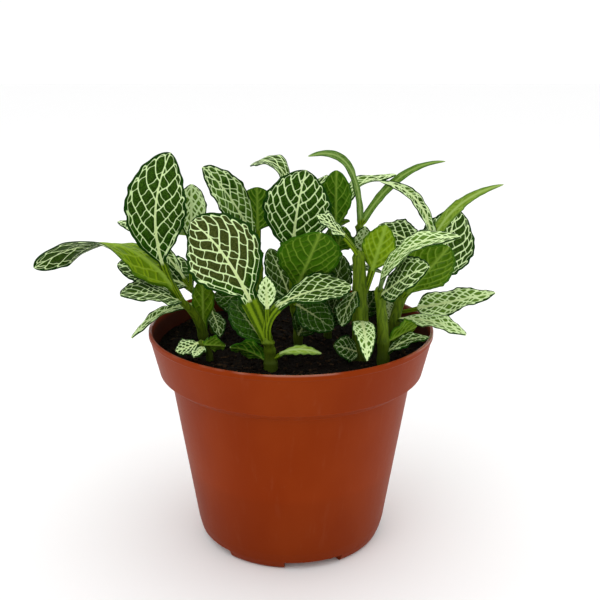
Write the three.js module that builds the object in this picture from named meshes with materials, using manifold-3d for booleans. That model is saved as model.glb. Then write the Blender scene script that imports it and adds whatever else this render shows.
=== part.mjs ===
// A potted nerve plant: a 12 cm plastic nursery pot, filled with potting mix, and the
// leafy stems that grow out of it. Millimetres, +Z up, standing on the pot's feet. The
// viewer of the reference picture looks along +Y, so the front of the plant faces -Y.
import * as THREE from "three";
import { mergeVertices } from "three/addons/utils/BufferGeometryUtils.js";
import Module from "manifold-3d";

const wasm = await Module();
wasm.setup();

// Pot
const RIM_RADIUS = 60;
const POT_HEIGHT = 94;
const WALL = 1.3;
const COLLAR_DEPTH = 18;
const COLLAR_STEP = 3.5;
const LIP = 2;
const FOOT_HEIGHT = 3.4;
const FOOT_RADIUS = 38;
const FOOT_WIDTH = 3;
const FLOOR = 1.4;
const FOOT_COUNT = 5;
const FOOT_TURN = -22;
const DRAIN_COUNT = 5;
const DRAIN_RADIUS = 4;
const DRAIN_CIRCLE = 22;
const POT_SIDES = 48;

// Soil
const SOIL_TOP = 86;
const SOIL_BUMP = 1;
const SOIL_RINGS = 5;
const GAP = 0.4;

// Stems and leaves
const ROOT_DEPTH = 12;
const COLLAR_OF_STEM = 2;
const STEM_SIDES = 6;
const STEM_STEPS = 4;
const BLADE = 0.75;
const STALK_DEPTH = 1.8;
const RIB_DEPTH = 0.6;
const TIP_WIDTH = 1.4;
const SMALL_LEAF = 13;
const LARGE_LEAF = 18;
const WAVES = 2;

const POT_PLASTIC = { color: 0x9a4223, roughness: 0.45, metalness: 0 };
const POTTING_MIX = { color: 0x1d1711, roughness: 0.95, metalness: 0 };
const GREEN = { color: 0x3f6b2c, roughness: 0.5, metalness: 0 };

// Where each stem leaves the soil, where it ends and how thick it is
const STEMS = [
  { id: "a", root: [-37, -4], top: [-45, -12, 108], radius: 2.1 },
  { id: "b", root: [-34, 14], top: [-43, 6, 108], radius: 1.9 },
  { id: "c", root: [-8, -31], top: [-9, -34, 98], radius: 2.5 },
  { id: "d", root: [3, -6], top: [0.3, -9, 108], radius: 1.9 },
  { id: "e", root: [-14, 18], top: [-14, 21, 120], radius: 1.9 },
  { id: "f", root: [4, 24], top: [2, 25, 126], radius: 1.7 },
  { id: "g", root: [16, 8], top: [19, 8, 126], radius: 1.8 },
  { id: "h", root: [28, -20], top: [26.8, -19, 128], radius: 3.1 },
  { id: "i", root: [30, 16], top: [29, 11, 134], radius: 1.7 },
  { id: "j", root: [37, -25], top: [35, -22, 115], radius: 2.3 },
  { id: "k", root: [44, 10], top: [55, 11, 110], radius: 1.9 },
  { id: "l", root: [43, -3], top: [59, 5, 128], radius: 2.2 },
  { id: "m", root: [-20, 34], top: [-28, 42, 116], radius: 1.9 },
  { id: "n", root: [12, 38], top: [14, 46, 114], radius: 1.9 },
  { id: "o", root: [-33, -22], top: [-36, -24, 94], radius: 1.4 },
];

// A leaf starts at a share of its stem's height and ends at its tip. Its upper face looks
// to a compass turn from the front and a rise. It arches that way, bows sideways, folds
// along its midrib, twists on its way to the tip and waves along its edges. Its neck is
// the width of its stalk, and its peak is where along the blade it is widest. Its neck is
// the width of its stalk, and its peak is where along the blade it is widest. Its neck is
// the width of its stalk, and its peak is where along the blade it is widest. Its neck is
// the width of its stalk, and its peak is where along the blade it is widest. Its neck is
// the width of its stalk, and its peak is where along the blade it is widest. Its neck is
// the width of its stalk, and its peak is where along the blade it is widest. Its neck is
// the width of its stalk, and its peak is where along the blade it is widest. Its neck is
// the width of its stalk, and its peak is where along the blade it is widest. Its neck is
// the width of its stalk, and its peak is where along the blade it is widest. Its neck is
// the width of its stalk, and its peak is where along the blade it is widest. Its neck is
// the width of its stalk, and its peak is where along the blade it is widest. Its neck is
// the width of its stalk, and its peak is where along the blade it is widest. Its neck is
// the width of its stalk, and its peak is where along the blade it is widest. Its neck is
// the width of its stalk, and its peak is where along the blade it is widest.
const LEAF = { at: 1, arch: 0, bow: 0, fold: 0.12, twist: 0, stalk: 5, crest: 0.5, wave: 0.8,
  neck: 2.2, peak: 0.5 };

const LEAVES = [
  { stem: "a", tip: [-46.5, -16, 169], width: 24.5, face: [0, 5], bow: -8, stalk: 17,
    fold: 0.05, neck: 3 },
  { stem: "a", at: 0.95, tip: [-98, -33, 127.5], width: 26, face: [-34, -84], arch: -16,
    twist: -140, stalk: 8, crest: 0.56, fold: 0.15, wave: -0.8, neck: 4.5, peak: 0.46 },
  { stem: "a", at: 0.85, tip: [-66, -31, 116], width: 18, face: [-20, 60], arch: 3, stalk: 4 },
  { stem: "a", at: 0.2, tip: [-36, -12, 117], width: 9.5, face: [180, 20], arch: 2, stalk: 3,
    neck: 3.5, peak: 0.56 },

  { stem: "b", tip: [-41.2, 6, 153], width: 13, face: [25, 5], stalk: 12, peak: 0.72 },
  { stem: "b", at: 0.9, tip: [-72.6, 0, 120], width: 22, face: [-10, 60], arch: 3 },
  { stem: "b", tip: [-76, 25, 133], width: 9, face: [-90, 60], arch: 9, crest: 0.6 },
  { stem: "b", at: 0.5, tip: [-66, -12, 92], width: 6, face: [-30, 60], arch: 7, stalk: 3 },
  { stem: "b", at: 0.8, tip: [-66, 38, 112], width: 20, face: [-120, 60], arch: 3 },
  { stem: "b", at: 0.45, tip: [-30, -5, 90], width: 8, face: [20, 30], arch: 2, stalk: 2 },

  { stem: "c", tip: [-38.5, -26, 143.8], width: 30, face: [0, 20], bow: 4, crest: 0.72,
    stalk: 17, neck: 7.5, peak: 0.54 },
  { stem: "c", tip: [23.5, -26, 118.3], width: 18, face: [10, 72], arch: 10, bow: -2.5,
    crest: 0.19, stalk: 15, neck: 6, peak: 0.6 },
  { stem: "c", tip: [-9.5, -36, 125], width: 8, face: [10, 10], stalk: 14, fold: 0.3 },
  { stem: "c", at: 0.2, tip: [11.7, -34, 93], width: 5, face: [-160, -60], arch: -4.5,
    stalk: 6, fold: -0.12, wave: -0.1 },
  { stem: "c", at: 0.1, tip: [-23.8, -33, 95.5], width: 12, face: [160, 30], arch: 2,
    stalk: 2 },
  { stem: "c", at: 0.65, tip: [-24, -18, 110], width: 13, face: [0, 30], arch: 3, stalk: 2 },

  { stem: "d", tip: [6, -8, 161], width: 28, face: [-5, 10], bow: -2, stalk: 18, peak: 0.55 },
  { stem: "d", tip: [11, -36, 142], width: 25, face: [180, 30], stalk: 6, neck: 4, peak: 0.58 },
  { stem: "d", at: 0.9, tip: [17, -22, 99], width: 14, face: [0, 30], arch: 3, stalk: 3 },
  { stem: "d", at: 0.2, tip: [10, -12, 106], width: 12, face: [-10, 20], arch: 2, stalk: 2 },
  { stem: "d", at: 0.75, tip: [-9.2, 4, 126], width: 13, face: [10, 30], arch: 2, stalk: 3 },

  { stem: "e", tip: [-37, 12, 159], width: 18, face: [40, 20], bow: 3.2, crest: 0.6 },
  { stem: "e", tip: [-14.5, 22, 149], width: 24, face: [150, 20], stalk: 10 },
  { stem: "e", at: 0.45, tip: [-33.5, 13, 102], width: 16, face: [0, 20], arch: 2, stalk: 3 },
  { stem: "e", at: 0.3, tip: [-4, 4, 106], width: 13, face: [5, 25], arch: 2, stalk: 3 },
  { stem: "e", at: 0.8, tip: [-38, 30, 126], width: 16, face: [-150, 45], arch: 3 },

  { stem: "f", tip: [-17.5, 26, 157.5], width: 13, face: [60, 35], arch: 12, stalk: 14,
    crest: 1, peak: 0.66 },
  { stem: "f", tip: [16, 22, 154], width: 12, face: [-60, 45], arch: 3, stalk: 8 },
  { stem: "f", tip: [-3, 58, 136], width: 20, face: [180, 60], arch: 5 },

  { stem: "g", at: 0.95, tip: [18.4, 1, 159.5], width: 13.5, face: [180, 15], stalk: 8,
    peak: 0.58 },
  { stem: "g", tip: [45, 20, 154.5], width: 10, face: [-65, 45], arch: 9, bow: -5, wave: 1.5 },
  { stem: "g", at: 0.5, tip: [9, -1, 117], width: 14, face: [-10, 20], arch: 2, stalk: 3 },
  { stem: "g", at: 0.9, tip: [22, -4, 137], width: 12, face: [150, 30], stalk: 3 },
  { stem: "g", at: 0.3, tip: [21.5, 1, 124], width: 13, face: [10, 20], arch: 1, stalk: 3 },
  { stem: "g", at: 0.1, tip: [19, -4, 107], width: 13, face: [0, 30], arch: 1, stalk: 2 },

  { stem: "h", tip: [9.6, -25, 146], width: 11, face: [-30, 65], arch: 2, stalk: 12, neck: 4 },
  { stem: "h", at: 0.38, tip: [28.8, -45, 94.2], width: 9.5, face: [10, 45], arch: 3,
    stalk: 3, peak: 0.3 },
  { stem: "h", at: 0.05, tip: [17, -30, 95], width: 11, face: [0, 35], arch: 1, stalk: 2 },
  { stem: "h", at: 0.7, tip: [20, -30, 103], width: 10, face: [-40, 20], arch: 2, stalk: 2 },
  { stem: "h", at: 0.5, tip: [37.7, -14, 140.1], width: 14, face: [175, 10], stalk: 16,
    neck: 3 },

  { stem: "i", tip: [6.8, -5, 166], width: 3.5, face: [190, -20], bow: -11.4, stalk: 3,
    crest: 0.72, neck: 3.1, peak: 0.6, fold: -0.3, wave: -0.4 },
  { stem: "i", tip: [67.2, 30, 158.8], width: 3.8, face: [190, -20], bow: 6.3, stalk: 3,
    crest: 0.62, neck: 3.4, peak: 0.36, fold: -0.3, wave: -0.4 },
  { stem: "i", at: 0.8, tip: [50, 46, 120], width: 18, face: [150, 60], arch: 2 },
  { stem: "i", at: 0.65, tip: [30.7, 2, 136], width: 9, face: [0, 20], stalk: 3 },
  { stem: "i", at: 0.1, tip: [37, 2, 108], width: 11, face: [0, 25], stalk: 3 },

  { stem: "j", tip: [63.6, -36, 140.3], width: 17, face: [-20, 72], arch: 8, stalk: 2,
    neck: 5, peak: 0.38 },
  { stem: "j", at: 0.9, tip: [51, -44, 130.8], width: 18, face: [10, 45], arch: 2, stalk: 3,
    neck: 3 },
  { stem: "j", at: 0.3, tip: [51, -17, 99], width: 13, face: [170, 30], stalk: 2 },
  { stem: "j", at: 0.05, tip: [55.5, -22, 95.6], width: 7, face: [0, 72], arch: 3.5, stalk: 2 },

  { stem: "k", tip: [72.4, 24, 139], width: 29, face: [30, 15], bow: 3, stalk: 4 },
  { stem: "k", at: 0.4, tip: [86, 0, 108], width: 13, face: [0, 50], stalk: 10, peak: 0.3,
    wave: 1.6 },
  { stem: "k", at: 0.05, tip: [41.4, 4, 104.5], width: 6, face: [0, 15], stalk: 3 },
  { stem: "k", at: 0.6, tip: [70, 44, 110], width: 20, face: [150, 60], arch: 4 },

  { stem: "l", at: 0.45, tip: [63, -14, 131.5], width: 22, face: [170, 30], stalk: 5,
    neck: 3.5 },
  { stem: "l", at: 0.25, tip: [70, -24, 97.5], width: 11, face: [20, 66], arch: 3, stalk: 3 },
  { stem: "l", tip: [35.8, -4, 155.8], width: 5.2, face: [10, 20], bow: 7, stalk: 2,
    neck: 4.4, peak: 0.4, fold: 0.3 },
  { stem: "l", tip: [87, 2, 153.5], width: 5.2, face: [170, -20], bow: 5, stalk: 2,
    neck: 5.2, peak: 0.24, fold: -0.3, wave: -0.4 },
  { stem: "l", at: 0.95, tip: [38, 20, 132.5], width: 15, face: [0, 40], stalk: 3, wave: 1.4 },

  { stem: "m", tip: [-66, 54, 120], width: 22, face: [-150, 60], arch: 4 },
  { stem: "m", tip: [-28, 78, 108], width: 24, face: [180, 60], arch: 6 },
  { stem: "m", at: 0.5, tip: [-50, 60, 99], width: 18, face: [-140, 60], arch: 4 },
  { stem: "m", tip: [-18, 44, 138], width: 18, face: [-170, 10] },

  { stem: "n", tip: [54, 68, 112], width: 22, face: [150, 60], arch: 5 },
  { stem: "n", tip: [5, 80, 108], width: 22, face: [180, 60], arch: 7 },
  { stem: "n", tip: [28, 60, 126], width: 12, face: [170, 50], arch: 4 },
  { stem: "n", at: 0.6, tip: [48, 52, 101], width: 18, face: [120, 60], arch: 4 },

  { stem: "o", tip: [-46, -27, 91.5], width: 9, face: [0, 60], stalk: 1 },
  { stem: "o", at: 0.8, tip: [-38, -34, 91.8], width: 6, face: [-20, 50], stalk: 1 },
  { stem: "o", tip: [-26, -27, 94], width: 9, face: [160, 30], stalk: 1 },
];

// Solids and meshes

function toSolid(geometry) {
  const bare = geometry.clone();
  bare.deleteAttribute("normal");
  bare.deleteAttribute("uv");
  const merged = mergeVertices(bare, 1e-4);
  const vertProperties = Float32Array.from(merged.attributes.position.array);
  const triVerts = Uint32Array.from(merged.index.array);
  return new wasm.Manifold(new wasm.Mesh({ numProp: 3, vertProperties, triVerts }));
}

function toGeometry(solid) {
  const { vertProperties, triVerts } = solid.getMesh();
  const geometry = new THREE.BufferGeometry();
  geometry.setAttribute("position", new THREE.BufferAttribute(Float32Array.from(vertProperties), 3));
  geometry.setIndex(new THREE.BufferAttribute(Uint32Array.from(triVerts), 1));
  geometry.computeVertexNormals();
  return geometry;
}

function toMesh(solid, name, look) {
  const mesh = new THREE.Mesh(toGeometry(solid), new THREE.MeshStandardMaterial(look));
  mesh.name = name;
  return mesh;
}

// A closed skin over a row of rings, each a list of as many points, running anticlockwise
// as seen from the row's far end
function loft(rings) {
  const count = rings[0].length;
  const positions = rings.flat().flatMap((point) => point.toArray());
  const index = [];
  for (let row = 0; row + 1 < rings.length; row += 1) {
    for (let k = 0; k < count; k += 1) {
      const next = (k + 1) % count;
      const [a, b] = [row * count + k, row * count + next];
      const [c, d] = [b + count, a + count];
      index.push(a, b, c, a, c, d);
    }
  }
  const last = (rings.length - 1) * count;
  for (let k = 1; k + 1 < count; k += 1) {
    index.push(0, k + 1, k, last, last + k, last + k + 1);
  }
  const geometry = new THREE.BufferGeometry();
  geometry.setAttribute("position", new THREE.Float32BufferAttribute(positions, 3));
  geometry.setIndex(index);
  return geometry;
}

// Pot

function turnedPoint(radius, degrees, height = 0) {
  const angle = THREE.MathUtils.degToRad(degrees);
  return new THREE.Vector3(radius * Math.sin(angle), -radius * Math.cos(angle), height);
}

function lathe(points, sides) {
  const profile = points.map(([radius, height]) => new THREE.Vector2(radius, height));
  return new THREE.LatheGeometry(profile, sides).rotateX(Math.PI / 2);
}

const COLLAR_BOTTOM = POT_HEIGHT - COLLAR_DEPTH;
const STEP_BOTTOM = COLLAR_BOTTOM - COLLAR_STEP;
const WALL_TOP_RADIUS = RIM_RADIUS - 8.8;
const COLLAR_RADIUS = RIM_RADIUS - 4.1;
const WALL_FOOT_RADIUS = FOOT_RADIUS + 3.3;
const WALL_FOOT_HEIGHT = 8;
const FLOOR_TOP = FOOT_HEIGHT + FLOOR;

// Both walls are listed from the bottom up
const INNER_WALL = [
  [WALL_FOOT_RADIUS - WALL - 1.6, FLOOR_TOP],
  [WALL_FOOT_RADIUS - WALL, WALL_FOOT_HEIGHT],
  [WALL_TOP_RADIUS - WALL, STEP_BOTTOM + 1],
  [COLLAR_RADIUS - WALL, COLLAR_BOTTOM + 1],
  [RIM_RADIUS - 0.4 - WALL, POT_HEIGHT - LIP],
  [RIM_RADIUS - WALL, POT_HEIGHT],
];

const OUTER_WALL = [
  [FOOT_RADIUS - FOOT_WIDTH - 0.6, FOOT_HEIGHT],
  [FOOT_RADIUS - FOOT_WIDTH, 0],
  [FOOT_RADIUS, 0],
  [FOOT_RADIUS + 1.2, 1.2],
  [FOOT_RADIUS + 2.3, WALL_FOOT_HEIGHT / 2],
  [WALL_FOOT_RADIUS, WALL_FOOT_HEIGHT],
  [WALL_TOP_RADIUS, STEP_BOTTOM],
  [COLLAR_RADIUS, COLLAR_BOTTOM],
  [RIM_RADIUS - 0.4, POT_HEIGHT - LIP - 0.4],
  [RIM_RADIUS, POT_HEIGHT - LIP],
  [RIM_RADIUS, POT_HEIGHT],
];

function footNotch(turn) {
  const half = 90 / FOOT_COUNT;
  const outer = FOOT_RADIUS + 6;
  const inner = FOOT_RADIUS - FOOT_WIDTH - 4;
  const outline = new THREE.Shape();
  const arc = [-half, -half / 2, 0, half / 2, half];
  const edge = [...arc.map((step) => [outer, step]), ...arc.reverse().map((step) => [inner, step])];
  outline.setFromPoints(edge.map(([radius, step]) => turnedPoint(radius, turn + step)));
  const cutter = new THREE.ExtrudeGeometry(outline, { depth: FOOT_HEIGHT + 1, bevelEnabled: false });
  return cutter.translate(0, 0, -1);
}

function makePot() {
  const down = INNER_WALL.toReversed();
  let pot = toSolid(lathe([[0, FOOT_HEIGHT], ...OUTER_WALL, ...down, [0, FLOOR_TOP]], POT_SIDES));
  const pitch = 360 / FOOT_COUNT;
  for (let k = 0; k < FOOT_COUNT; k += 1) {
    pot = pot.subtract(toSolid(footNotch(FOOT_TURN + pitch * (k + 0.5))));
  }
  for (let k = 0; k < DRAIN_COUNT; k += 1) {
    const centre = turnedPoint(DRAIN_CIRCLE, FOOT_TURN + pitch * k, FLOOR_TOP);
    const drain = new THREE.CylinderGeometry(DRAIN_RADIUS, DRAIN_RADIUS, 4 * FLOOR, 12).rotateX(Math.PI / 2);
    pot = pot.subtract(toSolid(drain.translate(centre.x, centre.y, centre.z)));
  }
  return pot;
}

// Stems

const SURFACE = SOIL_TOP + COLLAR_OF_STEM;

function rootPoint(stem, height) {
  return new THREE.Vector3(stem.root[0], stem.root[1], height);
}

// The stem leaves the soil upright and leans over to its top
function stemCurve(stem) {
  const foot = rootPoint(stem, SURFACE);
  const top = new THREE.Vector3(...stem.top);
  const middle = rootPoint(stem, (SURFACE + top.z) / 2);
  return new THREE.QuadraticBezierCurve3(foot, middle, top);
}

function stemRing(centre, radius) {
  return Array.from({ length: STEM_SIDES }, (_, k) =>
    turnedPoint(radius, (360 * k) / STEM_SIDES).add(centre));
}

function makeStem(stem) {
  const curve = stemCurve(stem);
  const rings = [stemRing(rootPoint(stem, SOIL_TOP - ROOT_DEPTH), stem.radius)];
  for (let k = 0; k <= STEM_STEPS; k += 1) {
    const share = k / STEM_STEPS;
    rings.push(stemRing(curve.getPoint(share), stem.radius * (1 - 0.25 * share ** 2)));
  }
  const bud = new THREE.Vector3(...stem.top).add(new THREE.Vector3(0, 0, stem.radius));
  rings.push(stemRing(bud, stem.radius * 0.4));
  return toSolid(loft(rings));
}

function stemHole(stem) {
  const radius = stem.radius + GAP;
  const rings = [SOIL_TOP - ROOT_DEPTH - GAP, SURFACE + 4].map((height) =>
    stemRing(rootPoint(stem, height), radius));
  return toSolid(loft(rings));
}

// Leaves

function faceDirection([turn, rise]) {
  const lift = THREE.MathUtils.degToRad(rise);
  return turnedPoint(Math.cos(lift), turn, Math.sin(lift));
}

function leafBase(stem, share) {
  const curve = stemCurve(stem);
  const height = Math.max(SURFACE, SOIL_TOP + (stem.top[2] - SOIL_TOP) * share);
  let [low, high] = [0, 1];
  for (let k = 0; k < 20; k += 1) {
    const middle = (low + high) / 2;
    if (curve.getPoint(middle).z < height) {
      low = middle;
    } else {
      high = middle;
    }
  }
  return curve.getPoint(low);
}

// The blade is narrow at its base, widest a little past its peak and round at its tip
function bladeWidth(along, peak) {
  const place = along ** (Math.log(0.5) / Math.log(peak));
  return Math.sin(Math.PI * place) ** (0.95 - 0.35 * place);
}

function makeLeaf(values) {
  const leaf = { ...LEAF, ...values };
  const small = leaf.width < SMALL_LEAF;
  const steps = small ? 5 : leaf.width < LARGE_LEAF ? 6 : 7;
  const across = small ? [-1, 0, 1] : [-1, -0.5, 0, 0.5, 1];
  const base = leafBase(STEMS.find(({ id }) => id === leaf.stem), leaf.at);
  const tip = new THREE.Vector3(...leaf.tip);
  const run = tip.clone().sub(base);
  const side = run.clone().cross(faceDirection(leaf.face)).normalize();
  const up = side.clone().cross(run).normalize();
  const control = base.clone().addScaledVector(run, leaf.crest);
  control.addScaledVector(up, 2 * leaf.arch).addScaledVector(side, 2 * leaf.bow);
  const midrib = new THREE.QuadraticBezierCurve3(base, control, tip);
  const length = midrib.getLength();

  const distances = [0];
  for (let k = 0; k <= steps; k += 1) {
    distances.push(leaf.stalk + (length - leaf.stalk) * (1 - (1 - k / steps) ** 1.2));
  }
  const rings = distances.map((distance) => {
    const share = Math.min(distance / length, 1);
    const along = Math.max(0, (distance - leaf.stalk) / (length - leaf.stalk));
    const stalk = leaf.neck * (0.6 + 0.4 * Math.min(1, distance / leaf.stalk));
    const narrow = along < 0.5 ? stalk : TIP_WIDTH;
    const blade = leaf.width * bladeWidth(Math.min(along, 1), leaf.peak);
    const half = Math.max(blade, narrow) / 2;
    const tangent = midrib.getTangentAt(share);
    const normal = up.clone().addScaledVector(tangent, -up.dot(tangent)).normalize();
    normal.applyAxisAngle(tangent, THREE.MathUtils.degToRad(leaf.twist) * (along - 0.5));
    const lateral = tangent.clone().cross(normal);
    const swell = (2 * half) / leaf.width;
    const ripple = leaf.wave * swell * Math.sin(2 * Math.PI * WAVES * along);
    const depth = THREE.MathUtils.lerp(STALK_DEPTH, BLADE, Math.min(1, along * 5));
    const centre = midrib.getPointAt(share);
    const point = (q, lift) => {
      const bend = leaf.fold * half * Math.abs(q) ** 1.3 + ripple * q * q;
      return centre.clone().addScaledVector(lateral, q * half).addScaledVector(normal, bend + lift);
    };
    const rib = RIB_DEPTH * (1 - along) * Math.min(1, along * 5);
    const upper = across.map((q) => point(q, depth / 2));
    const lower = across.map((q) => point(q, -depth / 2 - (q === 0 ? rib : 0)));
    return [...upper, ...lower.reverse()];
  });
  return toSolid(loft(rings));
}

function makeLeafyStem(stem) {
  const leaves = LEAVES.filter((leaf) => leaf.stem === stem.id).map(makeLeaf);
  return leaves.reduce((plant, leaf) => plant.add(leaf), makeStem(stem));
}

// Soil

// The soil fills the pot up to its bumpy top, and its skin stays clear of the pot's wall
function makeSoil() {
  const wall = INNER_WALL.slice(0, 4).map(([radius, height]) => [radius - GAP, height + GAP]);
  const [[lowRadius, lowHeight], [highRadius, highHeight]] = [INNER_WALL[3], INNER_WALL[4]];
  const slope = (highRadius - lowRadius) / (highHeight - lowHeight);
  const edgeRadius = lowRadius + slope * (SOIL_TOP - lowHeight) - GAP;
  const rings = Array.from({ length: SOIL_RINGS }, (_, k) =>
    [edgeRadius * (1 - k / SOIL_RINGS), SOIL_TOP]);
  const body = lathe([[0, wall[0][1]], ...wall, ...rings, [0, SOIL_TOP]], POT_SIDES);
  const place = body.attributes.position;
  for (let k = 0; k < place.count; k += 1) {
    const [x, y] = [place.getX(k), place.getY(k)];
    const inside = Math.min(1, (edgeRadius - Math.hypot(x, y)) / 8);
    if (place.getZ(k) > SOIL_TOP - 0.01 && inside > 0) {
      const bump = Math.sin(x / 5) * Math.cos(y / 6) + Math.sin(x / 9 + y / 4);
      place.setZ(k, SOIL_TOP + SOIL_BUMP * inside * 0.5 * bump);
    }
  }
  return STEMS.reduce((soil, stem) => soil.subtract(stemHole(stem)), toSolid(body));
}

// The whole plant, set so that the middle of its outline is over the origin

const plant = new THREE.Group();
plant.add(toMesh(makePot(), "pot", POT_PLASTIC));
plant.add(toMesh(makeSoil(), "soil", POTTING_MIX));
STEMS.forEach((stem, k) => {
  const name = `leafy_stem_${String(k + 1).padStart(2, "0")}`;
  plant.add(toMesh(makeLeafyStem(stem), name, GREEN));
});

const centre = new THREE.Box3().setFromObject(plant, true).getCenter(new THREE.Vector3());
plant.position.set(-centre.x, -centre.y, 0);

const model = new THREE.Group();
model.add(plant);

export default model;
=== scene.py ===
"""A potted nerve plant: a plastic nursery pot, its soil, and leafy stems with net-veined leaves.

Sizes in the tables are millimetres from the pot's centre at the height of its feet.
"""

import math
from dataclasses import dataclass

import bmesh
import bpy
import numpy as np
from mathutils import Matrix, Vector, noise


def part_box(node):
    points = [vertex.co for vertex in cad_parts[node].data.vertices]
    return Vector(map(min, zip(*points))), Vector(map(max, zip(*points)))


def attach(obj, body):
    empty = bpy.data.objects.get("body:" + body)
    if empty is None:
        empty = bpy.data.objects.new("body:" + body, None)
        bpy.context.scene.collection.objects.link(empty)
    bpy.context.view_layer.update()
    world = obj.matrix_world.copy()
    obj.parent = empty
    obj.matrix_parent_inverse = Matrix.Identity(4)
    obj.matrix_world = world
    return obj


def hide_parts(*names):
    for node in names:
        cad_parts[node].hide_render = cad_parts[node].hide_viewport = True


bl_info = {
    "name": "Potted nerve plant",
    "version": (1, 0, 0),
    "blender": (4, 5, 0),
    "location": "View3D > Sidebar > Plant",
    "description": "Builds a nerve plant in a plastic nursery pot",
    "category": "Object",
}

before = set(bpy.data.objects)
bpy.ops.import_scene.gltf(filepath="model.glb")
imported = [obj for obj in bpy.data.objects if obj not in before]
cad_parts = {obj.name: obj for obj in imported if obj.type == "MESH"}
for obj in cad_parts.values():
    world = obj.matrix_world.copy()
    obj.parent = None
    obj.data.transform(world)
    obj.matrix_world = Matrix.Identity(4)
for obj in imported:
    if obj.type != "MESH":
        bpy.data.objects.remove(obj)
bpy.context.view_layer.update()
pot_low, pot_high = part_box("pot")
POT_CENTRE = (pot_low + pot_high) / 2
MM = 0.001
TURN = 2 * np.pi

# Pot: the steps are how far inside the rim the collar starts, the collar ends and the wall starts

RIM = 60.0
HEIGHT = 94.0
WALL = 1.3
LIP = 2.0
LIP_STEP = 0.4
COLLAR_STEP = 4.1
WALL_STEP = 8.8
BASE_RADIUS = 41.3
BASE_HEIGHT = 8.0
INSIDE_FOOT = 37.0
INSIDE_SLOPE = 0.237
ROUNDING = 0.45
FOOT = 3.4
FLOOR = 1.4
FOOT_COUNT = 5
FOOT_PITCH = 360 / FOOT_COUNT
FOOT_TURN = -22.0
DRAIN_CIRCLE = 22.0
DRAIN_RADIUS = 4.0

# Soil: a crumb's sides are shares of its size, and its shade goes from peat to fibre

SOIL_TOP = 86.0
SOIL_GAP = 0.4
SOIL_EDGE = 56.3
SOIL_RINGS = 48
SOIL_BUMP = 0.5
SOIL_LUMP = 0.9
CRUMB_SEED = 11
CRUMB_SIDES = ((0.7, 1.2), (0.6, 1.0), (0.4, 0.8))
CRUMB_SHADES = (0.0, 0.0, 0.05, 0.15, 0.3)
LARGE_SHARE = 0.12
FIBRE_SHARE = 0.13

# Stems: the bud's rows are its height over the stem's end and its radius, in stem radii

ROOT_DEPTH = 12.0
SURFACE = SOIL_TOP + 2.0
STEM_SEED = 5
JOINT_SWELL = 0.3
JOINT_LENGTH = 1.3
BUD = np.array([(0.35, 0.72), (0.65, 0.6), (0.85, 0.42), (0.98, 0.12)])

# Leaves: the ruffles are their number along the blade, their height and their shift

STALK_DEPTH = 1.8
TIP_WIDTH = 1.4
WAVES = 2
FRILLS = 5.2
RUFFLES = ((6.3, 0.025, 1), (11, 0.016, 2))
VEIN_BLEND = 0.75
FAR = 9.0
HALF = np.array([0, 0.04, 0.08, 0.15, 0.24, 0.33, 0.42, 0.51, 0.6, 0.69, 0.78, 0.86, 0.93, 0.98, 1])
ACROSS = np.concatenate([-HALF[:0:-1], HALF])

# Stage: each lamp's name, place, size and share of the key light's power

FLOOR_REACH = 3.0
SKY = 1.03
AIM = (0, 0, 0.09)
SHIFT = 0.015
LAMPS = (
    ("key", (-0.5, -0.7, 0.85), 0.7, 1.0),
    ("fill", (0.8, -0.6, 0.5), 0.8, 0.3),
    ("top", (0.1, 0.3, 1.0), 0.9, 0.9),
)


@dataclass
class Stem:
    """Where a stem leaves the soil, where it ends and how thick it is."""

    root: tuple
    top: tuple
    radius: float


@dataclass
class Leaf:
    """A leaf's place and form, and how olive, cream and bright below it is; that brightness below
    is partly painted light.

    It starts at a share of the stem's height. Its face is the turn and rise that its upper
    side looks to. Arch and bow move its middle line up and to the side, most at the crest. Fold,
    wave and twist bend the blade, neck is the stalk's width, and peak is where it is widest.
    A cream value below 0 dulls and thins the veins, as painted shade on the low leaves deep in the
    plant.
    """

    stem: str
    tip: tuple
    width: float
    face: tuple
    at: float = 1.0
    arch: float = 0.0
    bow: float = 0.0
    fold: float = 0.12
    twist: float = 0.0
    stalk: float = 5.0
    crest: float = 0.5
    wave: float = 0.8
    neck: float = 2.2
    peak: float = 0.5
    olive: float = 0.35
    cream: float = 0.0
    back: float = 0.3


STEMS = {
    "a": Stem((-37, -4), (-45, -12, 108), 2.1),
    "b": Stem((-34, 14), (-43, 6, 108), 1.9),
    "c": Stem((-8, -31), (-9, -34, 98), 2.5),
    "d": Stem((3, -6), (0.3, -9, 108), 1.9),
    "e": Stem((-14, 18), (-14, 21, 120), 1.9),
    "f": Stem((4, 24), (2, 25, 126), 1.7),
    "g": Stem((16, 8), (19, 8, 126), 1.8),
    "h": Stem((28, -20), (26.8, -19, 128), 3.1),
    "i": Stem((30, 16), (29, 11, 134), 1.7),
    "j": Stem((37, -25), (35, -22, 115), 2.3),
    "k": Stem((44, 10), (55, 11, 110), 1.9),
    "l": Stem((43, -3), (59, 5, 128), 2.2),
    "m": Stem((-20, 34), (-28, 42, 116), 1.9),
    "n": Stem((12, 38), (14, 46, 114), 1.9),
    "o": Stem((-33, -22), (-36, -24, 94), 1.4),
}

# A cream value below 0 is painted shade on the low leaves deep in the plant.
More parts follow.
